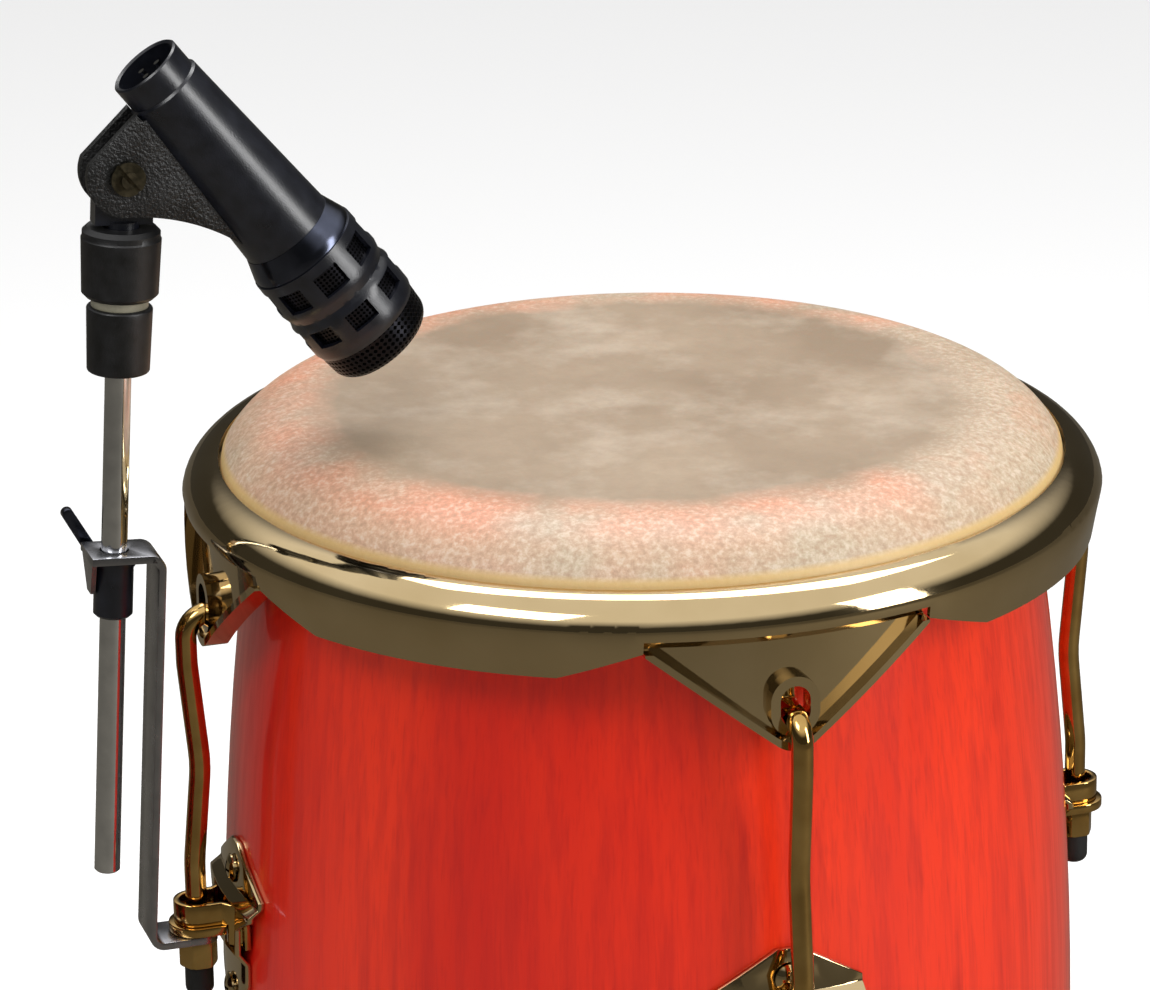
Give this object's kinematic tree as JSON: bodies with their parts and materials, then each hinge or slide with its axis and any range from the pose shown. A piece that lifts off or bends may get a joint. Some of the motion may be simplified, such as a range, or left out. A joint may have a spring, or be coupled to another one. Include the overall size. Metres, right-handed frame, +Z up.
{
  "type": "conga drum",
  "caption": "Tall barrel-shaped hand drum with a lug-tuned rim, and a small microphone clamped over the head on a flat bracket.",
  "frame": {"origin": "centre of the rubber foot, on the floor", "axes": "+Z up along the drum; -Y towards the front, where the front lug stands a little to +X; the microphone bracket is on the -X side"},
  "size_m": [0.3881, 0.355, 0.8515],
  "materials": {
    "lacquered_wood": "gloss lacquer",
    "rawhide": "matte",
    "gold_plate": "polished plating",
    "bare_steel": "satin",
    "chrome": "polished",
    "brass": "dull",
    "black_paint": "satin",
    "black_plastic": "matte",
    "black_rubber": "matte"
  },
  "bodies": {
    "drum": {"shell_staves": "lacquered_wood", "foot_rubber": "black_rubber", "head_top": "rawhide", "head_collar": "rawhide", "side_plates": "gold_plate", "u_straps": "gold_plate", "saddle_washers": "gold_plate", "plate_screws_upper": "gold_plate", "plate_screws_lower": "gold_plate", "screw_washers_upper": "bare_steel", "screw_washers_lower": "bare_steel", "screw_nuts_upper": "bare_steel", "screw_nuts_lower": "bare_steel"},
    "rim_set": {"rim_ring": "gold_plate", "rim_ears": "gold_plate", "tuning_hooks": "gold_plate", "flesh_hoop": "bare_steel", "head_skirt": "rawhide", "hook_cap_front": "black_rubber", "hook_cap_right": "black_rubber", "hook_cap_back": "black_rubber", "hook_cap_left": "black_rubber"},
    "nut_front": {"lug_nut_front": "gold_plate"},
    "nut_right": {"lug_nut_right": "gold_plate"},
    "nut_back": {"lug_nut_back": "gold_plate"},
    "nut_left": {"lug_nut_left": "gold_plate"},
    "mic_claw": {"mic_bracket": "bare_steel", "mic_clamp_collar": "black_paint"},
    "clamp_lever": {"mic_clamp_lever": "bare_steel"},
    "mic_stand": {"mic_rod": "chrome", "mic_rod_sleeve": "black_paint", "mic_spacer_ring": "brass"},
    "lock_knob": {"mic_lock_knob": "black_plastic"},
    "mic_swivel": {"mic_swivel_neck": "black_paint"},
    "microphone": {"mic_clip_cheeks": "black_plastic", "mic_pivot_screw": "brass", "mic_pivot_nut": "brass", "mic_tube": "black_paint", "mic_socket_barrel": "black_paint", "mic_socket_insert": "black_plastic", "mic_socket_pins": "chrome", "mic_shoulder_ring": "bare_steel", "mic_grille_frame": "black_paint", "mic_grille_liner": "bare_steel", "mic_nose_mesh": "black_paint", "mic_capsule": "black_plastic", "mic_capsule_mount": "black_rubber"}
  },
  "joints": [
    {"name": "rim_pull", "type": "slide", "parent": "drum", "child": "rim_set", "axis": [0, 0, 1], "range_m": [-0.004, 0], "deforming": ["head_collar"]},
    {"name": "nut_turn_front", "type": "hinge", "parent": "drum", "child": "nut_front", "pos_m": [0.05423, -0.16691, 0.5064], "axis": [0, 0, 1], "range_deg": [0, 1030]},
    {"name": "nut_turn_right", "type": "hinge", "parent": "drum", "child": "nut_right", "pos_m": [0.16691, 0.05423, 0.5064], "axis": [0, 0, 1], "range_deg": [0, 1030]},
    {"name": "nut_turn_back", "type": "hinge", "parent": "drum", "child": "nut_back", "pos_m": [-0.05423, 0.16691, 0.5064], "axis": [0, 0, 1], "range_deg": [0, 1030]},
    {"name": "nut_turn_left", "type": "hinge", "parent": "drum", "child": "nut_left", "pos_m": [-0.16691, -0.05423, 0.5034], "axis": [0, 0, 1], "range_deg": [0, 1030]},
    {"name": "bracket_swing", "type": "hinge", "parent": "drum", "child": "mic_claw", "pos_m": [-0.16691, -0.05423, 0.511], "axis": [0, 0, 1], "range_deg": [-25, 25]},
    {"name": "lever_turn", "type": "hinge", "parent": "mic_claw", "child": "clamp_lever", "pos_m": [-0.19125, -0.06214, 0.65303], "axis": [0.309, -0.9511, 0], "continuous": true},
    {"name": "rod_slide", "type": "slide", "parent": "mic_claw", "child": "mic_stand", "axis": [0.063, 0.0205, 0.9978], "range_m": [-0.004, 0.09]},
    {"name": "knob_turn", "type": "hinge", "parent": "mic_stand", "child": "lock_knob", "pos_m": [-0.18369, -0.05968, 0.77276], "axis": [0.063, 0.0205, 0.9978], "continuous": true},
    {"name": "mic_swivel_turn", "type": "hinge", "parent": "mic_stand", "child": "mic_swivel", "pos_m": [-0.18356, -0.05964, 0.77476], "axis": [0.063, 0.0205, 0.9978], "continuous": true},
    {"name": "mic_tilt", "type": "hinge", "parent": "mic_swivel", "child": "microphone", "pos_m": [-0.18162, -0.05901, 0.80549], "axis": [0.309, -0.9511, 0], "range_deg": [-2, 60]}
  ],
  "couplings": [
    {"joint": "nut_turn_front", "follows": "rim_pull", "rad_per_m": -4452.6},
    {"joint": "nut_turn_right", "follows": "rim_pull", "rad_per_m": -4452.6},
    {"joint": "nut_turn_back", "follows": "rim_pull", "rad_per_m": -4452.6},
    {"joint": "nut_turn_left", "follows": "rim_pull", "rad_per_m": -4452.6}
  ]
}
